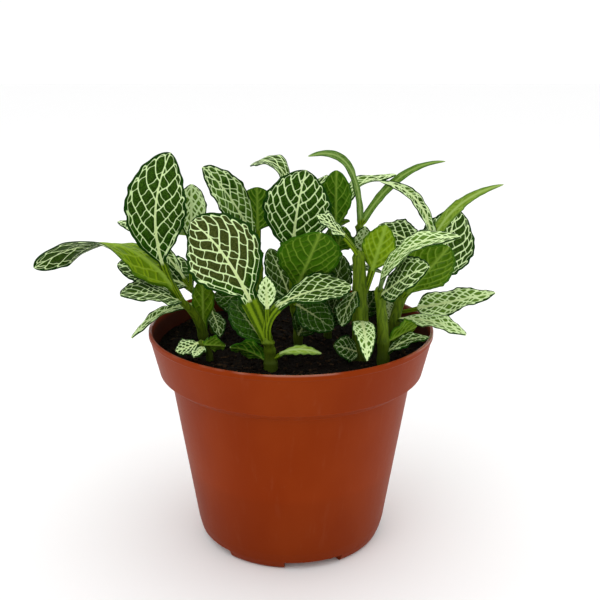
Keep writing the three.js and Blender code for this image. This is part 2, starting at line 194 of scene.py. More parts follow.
LEAVES = [
    Leaf("a", (-46.5, -16, 169), 24.5, (0, 5), bow=-8, stalk=17, fold=0.05, neck=3, olive=0.25),
    Leaf("a", (-98, -33, 127.5), 26, (-34, -84), at=0.95, arch=-16, twist=-140, stalk=8,
         crest=0.56, fold=0.15, wave=-0.8, neck=4.5, peak=0.46, back=1.0),
    Leaf("a", (-66, -31, 116), 18, (-20, 60), at=0.85, arch=3, stalk=4, cream=0.15),
    Leaf("a", (-36, -12, 117), 9.5, (180, 20), at=0.2, arch=2, stalk=3, neck=3.5, peak=0.56),
    Leaf("b", (-41.2, 6, 153), 13, (25, 5), stalk=12, peak=0.72, cream=1.2),
    Leaf("b", (-72.6, 0, 120), 22, (-10, 60), at=0.9, arch=3),
    Leaf("b", (-76, 25, 133), 9, (-90, 60), arch=9, crest=0.6, cream=0.3),
    Leaf("b", (-66, -12, 92), 6, (-30, 60), at=0.5, arch=7, stalk=3, cream=0.6),
    Leaf("b", (-66, 38, 112), 20, (-120, 60), at=0.8, arch=3),
    Leaf("b", (-30, -5, 90), 8, (20, 30), at=0.45, arch=2, stalk=2, cream=-0.3),
    Leaf("c", (-38.5, -26, 143.8), 30, (0, 20), bow=4, crest=0.72, stalk=17, neck=7.5,
         peak=0.54, olive=1.0),
    Leaf("c", (23.5, -26, 118.3), 18, (10, 72), arch=10, bow=-2.5, crest=0.19, stalk=15,
         neck=6, peak=0.6, cream=0.2),
    Leaf("c", (-9.5, -36, 125), 8, (10, 10), stalk=14, fold=0.3, cream=0.8),
    Leaf("c", (11.7, -34, 93), 5, (-160, -60), at=0.2, arch=-4.5, stalk=6, fold=-0.12, wave=-0.1,
         cream=0.35, back=0.9),
    Leaf("c", (-23.8, -33, 95.5), 12, (160, 30), at=0.1, arch=2, stalk=2, back=0.0),
    Leaf("c", (-24, -18, 110), 13, (0, 30), at=0.65, arch=3, stalk=2, olive=0.1, cream=-0.6),
    Leaf("d", (6, -8, 161), 28, (-5, 10), bow=-2, stalk=18, peak=0.55, olive=0.15),
    Leaf("d", (11, -36, 142), 25, (180, 30), stalk=6, neck=4, peak=0.58, back=0.12),
    Leaf("d", (17, -22, 99), 14, (0, 30), at=0.9, arch=3, stalk=3, olive=0.1, cream=-0.5),
    Leaf("d", (10, -12, 106), 12, (-10, 20), at=0.2, arch=2, stalk=2, cream=-0.5),
    Leaf("d", (-9.2, 4, 126), 13, (10, 30), at=0.75, arch=2, stalk=3, cream=-0.3),
    Leaf("e", (-37, 12, 159), 18, (40, 20), bow=3.2, crest=0.6, olive=0.1, cream=0.5),
    Leaf("e", (-14.5, 22, 149), 24, (150, 20), stalk=10, back=0.1),
    Leaf("e", (-33.5, 13, 102), 16, (0, 20), at=0.45, arch=2, stalk=3, olive=0.1, cream=-0.5),
    Leaf("e", (-4, 4, 106), 13, (5, 25), at=0.3, arch=2, stalk=3, olive=0.1, cream=-0.6),
    Leaf("e", (-38, 30, 126), 16, (-150, 45), at=0.8, arch=3),
    Leaf("f", (-17.5, 26, 157.5), 13, (60, 35), arch=12, stalk=14, crest=1, peak=0.66, cream=0.3),
    Leaf("f", (16, 22, 154), 12, (-60, 45), arch=3, stalk=8, cream=0.3),
    Leaf("f", (-3, 58, 136), 20, (180, 60), arch=5),
    Leaf("g", (18.4, 1, 159.5), 13.5, (180, 15), at=0.95, stalk=8, peak=0.58, back=0.1),
    Leaf("g", (45, 20, 154.5), 10, (-65, 45), arch=9, bow=-5, wave=1.5, cream=0.7),
    Leaf("g", (9, -1, 117), 14, (-10, 20), at=0.5, arch=2, stalk=3, olive=0.1, cream=-0.5),
    Leaf("g", (22, -4, 137), 12, (150, 30), at=0.9, stalk=3, back=0.1),
    Leaf("g", (21.5, 1, 124), 13, (10, 20), at=0.3, arch=1, stalk=3, cream=-0.4),
    Leaf("g", (19, -4, 107), 13, (0, 30), at=0.1, arch=1, stalk=2, cream=-0.4),
    Leaf("h", (9.6, -25, 146), 11, (-30, 65), arch=2, stalk=12, neck=4, cream=0.2),
    Leaf("h", (28.8, -45, 94.2), 9.5, (10, 45), at=0.38, arch=3, stalk=3, peak=0.3, cream=0.9),
    Leaf("h", (17, -30, 95), 11, (0, 35), at=0.05, arch=1, stalk=2, olive=0.1, cream=-0.3),
    Leaf("h", (20, -30, 103), 10, (-40, 20), at=0.7, arch=2, stalk=2, cream=-0.3),
    Leaf("h", (37.7, -14, 140.1), 14, (175, 10), at=0.5, stalk=16, neck=3, back=0.75),
    Leaf("i", (6.8, -5, 166), 3.5, (190, -20), bow=-11.4, stalk=3, crest=0.72, neck=3.1, peak=0.6,
         fold=-0.3, wave=-0.4, cream=0.25, back=0.15),
    Leaf("i", (67.2, 30, 158.8), 3.8, (190, -20), bow=6.3, stalk=3, crest=0.62, neck=3.4, peak=0.36,
         fold=-0.3, wave=-0.4, cream=0.15, back=0.2),
    Leaf("i", (50, 46, 120), 18, (150, 60), at=0.8, arch=2),
    Leaf("i", (30.7, 2, 136), 9, (0, 20), at=0.65, stalk=3, cream=0.8),
    Leaf("i", (37, 2, 108), 11, (0, 25), at=0.1, stalk=3, olive=0.1, cream=-0.4),
    Leaf("j", (63.6, -36, 140.3), 17, (-20, 72), arch=8, stalk=2, neck=5, peak=0.38, cream=0.9),
    Leaf("j", (51, -44, 130.8), 18, (10, 45), at=0.9, arch=2, stalk=3, neck=3, cream=0.2),
    Leaf("j", (51, -17, 99), 13, (170, 30), at=0.3, stalk=2),
    Leaf("j", (55.5, -22, 95.6), 7, (0, 72), at=0.05, arch=3.5, stalk=2, cream=-0.2),
    Leaf("k", (72.4, 24, 139), 29, (30, 15), bow=3, stalk=4, olive=0.3),
    Leaf("k", (86, 0, 108), 13, (0, 50), at=0.4, stalk=10, peak=0.3, wave=1.6, cream=0.9),
    Leaf("k", (41.4, 4, 104.5), 6, (0, 15), at=0.05, stalk=3, cream=0.6),
    Leaf("k", (70, 44, 110), 20, (150, 60), at=0.6, arch=4),
    Leaf("l", (63, -14, 131.5), 22, (170, 30), at=0.45, stalk=5, neck=3.5, back=0.25),
    Leaf("l", (70, -24, 97.5), 11, (20, 66), at=0.25, arch=3, stalk=3, cream=1.1),
    Leaf("l", (35.8, -4, 155.8), 5.2, (10, 20), bow=7, stalk=2, neck=4.4, peak=0.4, fold=0.3,
         cream=0.5),
    Leaf("l", (87, 2, 153.5), 5.2, (170, -20), bow=5, stalk=2, neck=5.2, peak=0.24, fold=-0.3,
         wave=-0.4, cream=0.2, back=0.7),
    Leaf("l", (38, 20, 132.5), 15, (0, 40), at=0.95, stalk=3, wave=1.4),
    Leaf("m", (-66, 54, 120), 22, (-150, 60), arch=4),
    Leaf("m", (-28, 78, 108), 24, (180, 60), arch=6),
    Leaf("m", (-50, 60, 99), 18, (-140, 60), at=0.5, arch=4),
    Leaf("m", (-18, 44, 138), 18, (-170, 10)),
    Leaf("n", (54, 68, 112), 22, (150, 60), arch=5),
    Leaf("n", (5, 80, 108), 22, (180, 60), arch=7),
    Leaf("n", (28, 60, 126), 12, (170, 50), arch=4),
    Leaf("n", (48, 52, 101), 18, (120, 60), at=0.6, arch=4),
    Leaf("o", (-46, -27, 91.5), 9, (0, 60), stalk=1, cream=0.1),
    Leaf("o", (-38, -34, 91.8), 6, (-20, 50), at=0.8, stalk=1, cream=0.4),
    Leaf("o", (-26, -27, 94), 9, (160, 30), stalk=1, back=0.2),
]


# Materials


class Field:
    """A shader value that adds Math nodes when it is used in a sum."""

    def __init__(self, paint, socket):
        self.paint = paint
        self.socket = socket

    def math(self, operation, *values):
        """Adds one Math node on these values."""
        node = self.paint.add("ShaderNodeMath", {"operation": operation}, dict(enumerate(values)))
        return Field(self.paint, node.outputs[0])

    def __add__(self, other):
        return self.math("ADD", self, other)

    def __radd__(self, other):
        return self.math("ADD", other, self)

    def __sub__(self, other):
        return self.math("SUBTRACT", self, other)

    def __rsub__(self, other):
        return self.math("SUBTRACT", other, self)

    def __mul__(self, other):
        return self.math("MULTIPLY", self, other)

    def __rmul__(self, other):
        return self.math("MULTIPLY", other, self)

    def __truediv__(self, other):
        return self.math("DIVIDE", self, other)

    def __pow__(self, other):
        return self.math("POWER", self, other)

    def __abs__(self):
        return self.math("ABSOLUTE", self)


class Paint:
    """Builds the nodes of one material."""

    def __init__(self, name):
        self.material = bpy.data.materials.new(name)
        self.material.use_nodes = True
        self.tree = self.material.node_tree
        self.tree.nodes.clear()

    def add(self, kind, settings=None, sockets=None):
        """Adds a node, its settings first and then what its sockets get."""
        node = self.tree.nodes.new(kind)
        for name, value in (settings or {}).items():
            setattr(node, name, value)
        for key, value in (sockets or {}).items():
            if isinstance(value, Field):
                self.tree.links.new(value.socket, node.inputs[key])
            else:
                node.inputs[key].default_value = value
        return node

    def field(self, node, output=0):
        return Field(self, node.outputs[output])

    def vector(self, name):
        """The three values of a mesh attribute."""
        node = self.add("ShaderNodeAttribute", {"attribute_name": name})
        parts = self.add("ShaderNodeSeparateXYZ", sockets={0: self.field(node, "Vector")})
        return [self.field(parts, axis) for axis in range(3)]

    def place(self, scale=(1.0, 1.0, 1.0)):
        """The place on the piece, in millimetres times the scale."""
        spot = self.field(self.add("ShaderNodeTexCoord"), "Object")
        sockets = {0: spot, 1: [value / MM for value in scale]}
        return self.field(self.add("ShaderNodeVectorMath", {"operation": "MULTIPLY"}, sockets))

    def grain(self, scale, detail=3.0, rough=0.5, stretch=(1.0, 1.0, 1.0)):
        """Soft noise with this many lumps to a millimetre."""
        sockets = {"Vector": self.place(stretch), "Scale": scale, "Detail": detail}
        sockets["Roughness"] = rough
        return self.field(self.add("ShaderNodeTexNoise", sockets=sockets))

    def cells(self, scale):
        """The distance from the middle of the nearest of the cells that fill the space."""
        sockets = {"Vector": self.place(), "Scale": scale}
        return self.field(self.add("ShaderNodeTexVoronoi", sockets=sockets), "Distance")

    def step(self, value, low, high):
        """0 below low, 1 above high and smooth between them."""
        settings = {"interpolation_type": "SMOOTHSTEP"}
        sockets = {"Value": value, "From Min": low, "From Max": high}
        return self.field(self.add("ShaderNodeMapRange", settings, sockets))

    def mix(self, factor, first, second):
        """A colour between two, by the node's colour sockets: the first at 0, the second at 1."""
        settings = {"data_type": "RGBA", "clamp_factor": True}
        return self.field(self.add("ShaderNodeMix", settings, {0: factor, 6: first, 7: second}), 2)

    def bump(self, height, strength, distance):
        sockets = {"Height": height, "Strength": strength, "Distance": distance}
        return self.field(self.add("ShaderNodeBump", sockets=sockets), "Normal")

    def finish(self, **sockets):
        """The surface shader, with the sockets' names in place of underscores."""
        named = {key.replace("_", " "): value for key, value in sockets.items()}
        shader = self.add("ShaderNodeBsdfPrincipled", sockets=named)
        self.add("ShaderNodeOutputMaterial", sockets={"Surface": self.field(shader)})
        return self.material


def call(value, operation, function, *others):
    """The same sum on a shader value or on an array."""
    if isinstance(value, Field):
        return value.math(operation, value, *others)
    return function(value, *others)


def sine(value):
    return call(value, "SINE", np.sin)


def whole(value):
    return call(value, "FLOOR", np.floor)


def least(value, other):
    return call(value, "MINIMUM", np.minimum, other)


def most(value, other):
    return call(value, "MAXIMUM", np.maximum, other)


def above(value, limit):
    return call(value, "GREATER_THAN", lambda a, b: (a > b) * 1.0, limit)


def joined(first, second):
    """The nearer of two veins, with the corner between them filled a little."""
    near = most(VEIN_BLEND - abs(first - second), 0.0)
    return least(first, second) - near * near * near / (6.0 * VEIN_BLEND * VEIN_BLEND)


def vein_distance(along, across, half, length, widest, seed, cream):
    """How far a point of a blade is from the edge of the nearest vein of the net.

    The side veins leave the midrib in pairs, arch towards the tip and run along the margin.
    Straight cross veins join them, and loops close the net a little inside the margin. The
    second value counts only the midrib and the side veins. The third is 1 on the margin
    outside the net and 0 in it.
    """
    left = above(0.0 - across, 0.0)
    out = abs(across)
    x = along * length
    y = out * half
    edge = half - y
    out = out + 0.008 * sine(0.7 * x + 5.0 * left + seed)
    rise = 0.1 * out + (0.6 + 0.5 * out) * y / length + 0.12 * out ** 5.0
    young = most(cream, 0.0)
    pairs = (3.5 + 0.22 * widest) * (1.0 + 0.3 * young)
    sway = 0.006 * sine(0.8 * y + 0.5 * x + seed)
    row = (along - rise + sway) * pairs + 0.37 * left + 0.1 * seed
    band = whole(row)
    within = row - band
    cell = (1.3 + 0.27 * widest) * (1.0 - 0.25 * young)
    turn = band * 0.618 + 0.31 * left + 0.23 * seed
    rung = (y + 0.8 * x) / cell + turn + 0.05 * sine(1.9 * x + 3.1 * band + seed)
    place = whole(rung)
    cross = FAR
    for step in (-1.0, 0.0, 1.0):
        shift = 0.24 * sine(2.4 * (place + step) + 3.7 * band + seed)
        cross = least(abs(rung - place - step - 0.5 - shift), cross)
    cross = cross * cell * 0.78
    side = least(within, 1.0 - within) * length / pairs * (0.84 - 0.6 * out)
    loop = (0.4 + 0.075 * widest) * (1.4 - 0.6 * sine(3.14 * within))
    outside = above(loop, edge)
    bold = 0.5 + 0.04 * widest
    # Cream widens the veins; below 0 it thins them, as part of the painted shade on the low leaves.
    rib = y - bold * (0.15 + 0.48 * (1.0 - along)) - 0.2 * cream
    side = side - bold * (0.28 - 0.13 * out) - 0.2 * cream + FAR * outside
    cross = cross - bold * 0.12 - 0.15 * cream + FAR * outside
    hoop = abs(edge - loop) - bold * 0.13 - 0.12 * cream
    branches = joined(rib, side)
    return joined(branches, joined(cross, hoop)), branches, outside


def leaf_material(look):
    paint = Paint("net_veined_leaf")
    along, across, half = paint.vector("blade")
    length, widest, seed = paint.vector("size")
    olive, cream, back = paint.vector("looks")
    distance, branches, outside = vein_distance(along, across, half, length, widest, seed, cream)
    map_node = paint.add("ShaderNodeUVMap", {"uv_map": "OFBake"})
    map_parts = paint.add("ShaderNodeSeparateXYZ", sockets={0: paint.field(map_node)})
    below = above(paint.field(map_parts, 0), 0.5)
    stalk = 1.0 - paint.step(along, -0.01, 0.03)
    vein = 1.0 - paint.step(distance, -0.1, 0.1)
    pillow = paint.step(distance, -0.1, 1.1)
    fine = paint.grain(1.6, 4.0, 0.6)
    broad = paint.grain(0.12, 2.0)

    deep = paint.mix(paint.step(fine, 0.35, 0.7), look.cell_dark, look.cell_light)
    browned = paint.mix(paint.step(fine, 0.3, 0.75), look.olive_dark, look.olive_light)
    tan = olive * paint.step(along - 0.35 * abs(across) + 0.5 * broad, 0.2, 0.5)
    cells = paint.mix(tan, deep, browned)
    pale = cream * paint.step(broad + 0.25 * cream, 0.45, 0.75)
    cells = paint.mix(pale * (0.85 - 0.4 * cream), cells, look.young)
    cells = paint.mix(outside * 0.9, cells, look.margin)
    veins = paint.mix(paint.step(fine, 0.3, 0.8), look.vein, look.vein_soft)
    # Painted shade: a cream value below 0 turns the veins towards the margin's dark green,
    # darkening the low leaves deep in the plant.
    veins = paint.mix(most(0.0 - cream, 0.0) * 1.4, veins, look.margin)
    rib = 1.0 - paint.step(abs(across) * half, 0.3, 1.2)
    veins = paint.mix(rib * (1.0 - along) * 0.45, veins, look.midrib)
    upper = paint.mix(vein, cells, veins)

    # The underside's yellow green is partly the leaf's own colour and partly painted light: back
    # brightens it leaf by leaf in place of light shining through the blade.
    under = paint.mix(back, look.under_dark, look.under_bright)
    under = paint.mix(paint.step(broad, 0.35, 0.7) * 0.4 * back, under, look.under_bright)
    under = paint.mix(paint.step(distance, 0.1, 0.7) * (0.2 + 0.3 * back), under, look.under_dark)
    under = paint.mix(outside * 0.6, under, look.under_dark)
    whitened = most(cream, 0.0)
    under = paint.mix(whitened * 0.35, under, look.vein_soft)
    under_veins = paint.mix(whitened, look.under_vein, look.vein)
    keel = 1.0 - paint.step(abs(across) * half - 0.05 * widest * back, 0.1, 0.5 + 0.06 * widest)
    keel = most(vein * (0.24 - 0.04 * back), keel * (0.35 + 0.3 * back))
    under = paint.mix(keel, under, under_veins)
    branch = 1.0 - paint.step(branches, -0.15, 0.2)
    under = paint.mix(branch * (0.33 + 0.2 * back), under, under_veins)
    colour = paint.mix(below, upper, under)
    ridge = sine(8.0 * across + seed)
    green = paint.mix(paint.step(0.5 * ridge + fine, 0.1, 1.1), look.stalk, look.stalk_dark)
    colour = paint.mix(stalk, colour, green)

    relief = pillow * (1.0 - 2.0 * below) * (1.0 - stalk) + 0.18 * fine + 0.3 * stalk * ridge
    return paint.finish(
        Base_Color=colour,
        Roughness=0.42 + 0.14 * vein + 0.1 * fine,
        Specular_IOR_Level=0.06,
        Specular_Tint=(0.7, 1.0, 0.35, 1.0),
        Normal=paint.bump(relief, look.relief, 0.0005),
    )


def stem_material(look):
    paint = Paint("green_stem")
    height, _, _ = paint.vector("growth")
    fine = paint.grain(1.1, 4.0, 0.6, (1.0, 1.0, 0.15))
    colour = paint.mix(paint.step(fine, 0.3, 0.75), look.stalk, look.stalk_dark)
    # Darker olive towards the foot of each stem, by its height above the soil.
    foot = 1.0 - 0.7 * paint.step(height + 0.3 * fine, 0.1, 0.7)
    colour = paint.mix(foot, colour, look.stem_foot)
    return paint.finish(
        Base_Color=colour,
        Roughness=0.5,
        Specular_IOR_Level=0.08,
        Normal=paint.bump(fine, 0.5, 0.0003),
    )


def pot_material(pot):
    paint = Paint("terracotta_plastic")
    broad = paint.grain(0.03, 3.0, 0.5, (1.0, 1.0, 0.6))
    fine = paint.grain(0.7, 5.0, 0.6)
    streak = paint.grain(0.35, 3.0, 0.6, (1.0, 1.0, 0.06))
    colour = paint.mix(paint.step(broad, 0.35, 0.7), pot.colour, pot.colour_worn)
    colour = paint.mix(paint.step(streak, 0.55, 0.85) * 0.1, colour, pot.dust_and_highlight)
    colour = paint.mix(paint.step(fine, 0.62, 0.8) * 0.08, colour, pot.dust_and_highlight)
    parts = paint.add("ShaderNodeSeparateXYZ", sockets={0: paint.place()})
    x, y, z = [paint.field(parts, axis) for axis in range(3)]
    x, y = x - POT_CENTRE.x / MM, y - POT_CENTRE.y / MM
    radius = (x * x + y * y) ** 0.5
    inner = 1.0 - paint.step(radius - INSIDE_SLOPE * z, INSIDE_FOOT, INSIDE_FOOT + 0.4)
    # Painted shade: the inside of the wall above the soil is darkened up to just under the rim, the
    # outside more towards the base, and all the plastic a little.
    painted_shade = inner * paint.step(z, 77.0, 80.0) * (1.0 - paint.step(z + fine, 91.0, HEIGHT))
    painted_base_shade = (1.0 - paint.step(z + 6.0 * broad, 2.0, 60.0)) * (1.0 - inner)
    colour = paint.mix(most(painted_shade * 0.85, 0.06 + 0.16 * painted_base_shade), colour, pot.painted_shade)
    # Pale patches along the lip: partly wear and partly a painted highlight; the coat on them is
    # real gloss.
    worn_and_lit_patches = paint.grain(0.045, 2.0, 0.5, (1.0, 1.0, 0.2))
    lip = paint.step(z, 93.3, 93.8) * paint.step(worn_and_lit_patches, 0.45, 0.62)
    colour = paint.mix(lip * 0.35, colour, pot.dust_and_highlight)
    return paint.finish(
        Base_Color=colour,
        Coat_Weight=lip,
        Coat_Roughness=0.15,
        Roughness=pot.roughness + 0.12 * fine + 0.1 * streak,
        Specular_IOR_Level=0.07,
        Specular_Tint=(1.0, 0.5, 0.3, 1.0),
        Normal=paint.bump(0.6 * fine + 0.4 * streak, 0.25, 0.0002),
    )


def soil_material(soil):
    paint = Paint("potting_mix")
    shade, _, _ = paint.vector("grit")
    fine = paint.grain(1.8, 5.0, 0.65)
    lumps = paint.cells(0.6)
    colour = paint.mix(paint.step(fine, 0.35, 0.75), soil.colour, soil.colour_light)
    colour = paint.mix(shade, colour, soil.fibre)
    return paint.finish(
        Base_Color=colour,
        Roughness=0.93,
        Specular_IOR_Level=0.05,
        Normal=paint.bump(fine + 0.6 * lumps, 0.8, 0.0008),
    )


# Shapes


def unit(vector):
    return vector / np.linalg.norm(vector)


def compass(turn, rise=0.0):
    """A direction by its turn from the front, towards the right, and its rise."""
    turn, rise = math.radians(turn), math.radians(rise)
    flat = math.cos(rise)
    return np.array([math.sin(turn) * flat, -math.cos(turn) * flat, math.sin(rise)])


class Curve:
    """A curve from one point past a second to a third, measured along its length."""

    def __init__(self, start, middle, end):
        self.ends = [np.array(point, float) for point in (start, middle, end)]
        self.shares = np.linspace(0, 1, 201)
        steps = np.linalg.norm(np.diff(self.at(self.shares), axis=0), axis=1)
        self.distance = np.concatenate([[0], np.cumsum(steps)])
        self.length = self.distance[-1]

    def at(self, share):
        a, b, c = self.ends
        t = np.asarray(share)[..., None]
        return (1 - t) ** 2 * a + 2 * t * (1 - t) * b + t ** 2 * c

    def share(self, distance):
        return np.interp(distance, self.distance, self.shares)

    def tangent(self, share):
        a, b, c = self.ends
        t = np.asarray(share)[..., None]
        slope = (1 - t) * (b - a) + t * (c - b)
        return slope / np.linalg.norm(slope, axis=-1, keepdims=True)


def placed(points):
    """Millimetres from the pot's centre as metres in the frame."""
    return (np.asarray(points) * MM + np.array([POT_CENTRE.x, POT_CENTRE.y, 0.0])).tolist()


def make_piece(name, points, faces, node, material, corners=None, values=None):
    """A smooth mesh piece from millimetre points, in the place of a node of the frame."""
    mesh = bpy.data.meshes.new(name)
    mesh.from_pydata(placed(points), [], [list(map(int, face)) for face in faces])
    mesh.polygons.foreach_set("use_smooth", [True] * len(mesh.polygons))
    for key, rows in (values or {}).items():
        attribute = mesh.attributes.new(key, "FLOAT_VECTOR", "POINT")
        attribute.data.foreach_set("vector", np.asarray(rows, np.float32).ravel())
    if corners is not None:
        layer = mesh.uv_layers.new(name="OFBake")
        layer.data.foreach_set("uv", np.asarray(corners, np.float32).ravel())
    mesh.materials.append(material)
    mesh.validate()
    mesh.update()
    piece = bpy.data.objects.new(name, mesh)
    bpy.context.scene.collection.objects.link(piece)
    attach(piece, "root")
    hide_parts(node)
    return piece


def ring_faces(rows, count):
    """Quads between rows of points, each row a closed ring, and a face on both ends."""
    faces = []
    for row in range(rows - 1):
        for k in range(count):
            after = (k + 1) % count
            a, b = row * count + k, row * count + after
            faces.append((a, b, b + count, a + count))
    last = (rows - 1) * count
    faces.append(tuple(range(count))[::-1])
    faces.append(tuple(range(last, last + count)))
    return faces


def turned(profile, angles):
    """Points of a profile of radii and heights at each of the angles."""
    profile = np.asarray(profile, float)
    around = np.array([compass(angle) for angle in angles])
    points = profile[:, None, :1] * around[None, :, :]
    points[..., 2] = profile[:, None, 1]
    return points


def smooth_profile(corners):
    """A profile with each of its corners rounded."""
    corners = [np.array(corner, float) for corner in corners]
    rounded = [corners[0]]
    for before, corner, after in zip(corners, corners[1:], corners[2:]):
        sides = [np.linalg.norm(corner - before), np.linalg.norm(after - corner)]
        reach = min(ROUNDING, min(sides) / 2.2)
        start = corner + unit(before - corner) * reach
        end = corner + unit(after - corner) * reach
        for t in np.linspace(0, 1, 4):
            rounded.append((1 - t) ** 2 * start + 2 * t * (1 - t) * corner + t ** 2 * end)
    rounded.append(corners[-1])
    return rounded


def outer_wall():
    """The pot's outside from the inner edge of its feet up to its rim."""
    return [
        (34.4, FOOT),
        (35.0, 0),
        (38.0, 0),
        (39.2, 1.2),
        (40.3, 4.0),
        (BASE_RADIUS, BASE_HEIGHT),
        (RIM - WALL_STEP, HEIGHT - 21.5),
        (RIM - COLLAR_STEP, HEIGHT - 18),
        (RIM - LIP_STEP, HEIGHT - 2.4),
        (RIM, HEIGHT - LIP),
        (RIM, HEIGHT),
    ]


def inner_wall():
    """The pot's inside from its rim down to its floor."""
    return [
        (RIM - WALL, HEIGHT),
        (RIM - LIP_STEP - WALL, HEIGHT - LIP),
        (RIM - COLLAR_STEP - WALL, HEIGHT - 17),
        (RIM - WALL_STEP - WALL, HEIGHT - 20.5),
        (BASE_RADIUS - WALL, BASE_HEIGHT),
        (BASE_RADIUS - WALL - 1.6, FOOT + FLOOR),
    ]


def make_pot(pot):
    notches = [FOOT_TURN + FOOT_PITCH * (k + 0.5) for k in range(FOOT_COUNT)]
    # Two angles stand close together at each side of a notch, to make that side steep.
    edges = []
    for notch in notches:
        for sign in (-1, 1):
            for step in (-0.1, 0.1):
                edges.append((notch + sign * FOOT_PITCH / 4 + step + 180) % 360 - 180)
    plain = [a for a in np.arange(-180, 180, 1.5) if min(abs(a - e) for e in edges) > 0.5]
    angles = np.array(sorted(plain + edges))
    below = [(0.02, FOOT), (18, FOOT), (30, FOOT)]
    inside = [(radius, FOOT + FLOOR) for radius, _ in reversed(below)]
    rows = below + smooth_profile(outer_wall() + inner_wall()) + inside
    points = turned(rows, angles)
    off = np.min([abs((angles - notch + 180) % 360 - 180) for notch in notches], axis=0)
    notched = (points[..., 2] < FOOT) & (off < FOOT_PITCH / 4)[None, :]
    points[..., 2] = np.where(notched, FOOT, points[..., 2])
    faces = ring_faces(len(rows), len(angles))
    material = pot_material(pot)
    piece = make_piece("nursery_pot", points.reshape(-1, 3), faces, "pot", material)
    drill(piece)
    piece.data.set_sharp_from_angle(angle=math.radians(38))


def drill(piece):
    """Cuts the drain holes through the pot's floor."""
    pillar = [(DRAIN_RADIUS, FOOT - 3), (DRAIN_RADIUS, FOOT + FLOOR + 3)]
    ring = turned(pillar, np.arange(0, 360, 10)).reshape(-1, 3)
    points, faces = [], []
    for k in range(FOOT_COUNT):
        points.append(ring + compass(FOOT_TURN + FOOT_PITCH * k) * DRAIN_CIRCLE)
        for face in ring_faces(2, len(ring) // 2):
            faces.append([corner + len(ring) * k for corner in face])
    mesh = bpy.data.meshes.new("drains")
    mesh.from_pydata(placed(np.concatenate(points)), [], faces)
    cutter = bpy.data.objects.new("drains", mesh)
    bpy.context.scene.collection.objects.link(cutter)
    cut = piece.modifiers.new("drains", "BOOLEAN")
    cut.operation = "DIFFERENCE"
    cut.solver = "EXACT"
    cut.object = cutter
    bpy.context.view_layer.update()
    cut_piece = piece.evaluated_get(bpy.context.evaluated_depsgraph_get())
    drilled = bpy.data.meshes.new_from_object(cut_piece)
    piece.modifiers.clear()
    piece.data = drilled
    bpy.data.objects.remove(cutter)


def soil_height(x, y):
    """The height of the soil's bumpy top at a place in the pot."""
    inside = min(1.0, max(0.0, (SOIL_EDGE - math.hypot(x, y)) / 8))
    bump = math.sin(x / 5) * math.cos(y / 6) + math.sin(x / 9 + y / 4)
    lumps = noise.fractal(Vector((x, y, 3.0)) * 0.35, 0.9, 2.1, 4)
    return SOIL_TOP - 0.3 + SOIL_BUMP * inside * bump + SOIL_LUMP * lumps


def make_soil(soil):
    material = soil_material(soil)
    angles = np.arange(-180, 180, 2.5)
    wall = [(r - SOIL_GAP, z + SOIL_GAP) for r, z in inner_wall()[:1:-1]]
    bottom = wall[0][1]
    rings = [(SOIL_EDGE * (1 - k / SOIL_RINGS), SOIL_TOP) for k in range(SOIL_RINGS)]
    rows = [(0.1, bottom), (20, bottom)] + wall + rings + [(0.1, SOIL_TOP)]
    points = turned(rows, angles).reshape(-1, 3)
    for point in points:
        if point[2] > SOIL_TOP - 0.01:
            point[2] = soil_height(point[0], point[1])
    grit = np.zeros_like(points)
    faces = ring_faces(len(rows), len(angles))
    make_piece("soil_bed", points, faces, "soil", material, values={"grit": grit})
    make_crumbs(soil, material)


def ball():
    """The corners and triangles of a ball of radius 1."""
    mesh = bpy.data.meshes.new("crumb")
    form = bmesh.new()
    bmesh.ops.create_icosphere(form, subdivisions=1, radius=1)
    form.to_mesh(mesh)
    form.free()
    corners = np.array([vertex.co[:] for vertex in mesh.vertices])
    triangles = np.array([polygon.vertices[:] for polygon in mesh.polygons])
    bpy.data.meshes.remove(mesh)
    return corners, triangles


def make_crumbs(soil, material):
    """Loose crumbs and longer bits of fibre, strewn on the soil as one piece."""
    rng = np.random.default_rng(CRUMB_SEED)
    corners, triangles = ball()
    count = len(corners)
    points, faces, grit = [], [], []
    for k in range(soil.crumb_count):
        reach = (SOIL_EDGE - 1.5) * math.sqrt(rng.random())
        x, y, _ = compass(rng.uniform(-180, 180)) * reach
        size = soil.crumb_size / MM * rng.uniform(0.45, 1.0)
        size = size * (1.6 if rng.random() < LARGE_SHARE else 1.0)
        fibre = rng.random() < FIBRE_SHARE
        shape = [size * rng.uniform(low, high) for low, high in CRUMB_SIDES]
        if fibre:
            shape = [size * rng.uniform(1.5, 2.6), size * 0.35, size * 0.3]
        lump = corners * (1 + rng.uniform(-0.28, 0.28, (count, 1))) * np.array(shape)
        spin, tip = rng.uniform(0, TURN), rng.uniform(-0.4, 0.4)
        c, s = math.cos(tip), math.sin(tip)
        lump = lump @ np.array([[c, 0, s], [0, 1, 0], [-s, 0, c]])
        c, s = math.cos(spin), math.sin(spin)
        lump = lump @ np.array([[c, s, 0], [-s, c, 0], [0, 0, 1]])
        lump += np.array([x, y, soil_height(x, y) + 0.25 * shape[2]])
        shade = rng.uniform(0.35, 0.9) if fibre else rng.choice(CRUMB_SHADES)
        points.append(lump)
        faces.append(triangles + count * k)
        grit.append(np.full((count, 3), shade))
    points, faces, grit = map(np.concatenate, (points, faces, grit))
    make_piece("soil_crumbs", points, faces, "soil", material, values={"grit": grit})


def stem_curve(stem):
    """The stem leaves the soil upright and leans over to its top."""
    x, y = stem.root
    return Curve((x, y, SURFACE), (x, y, (SURFACE + stem.top[2]) / 2), stem.top)


def leaf_base(stem, at):
    """The point on the stem's middle line where a leaf starts."""
    curve = stem_curve(stem)
    height = max(SURFACE, SOIL_TOP + (stem.top[2] - SOIL_TOP) * at)
    shares = np.linspace(0, 1, 401)
    return curve.at(np.interp(height, curve.at(shares)[:, 2], shares))


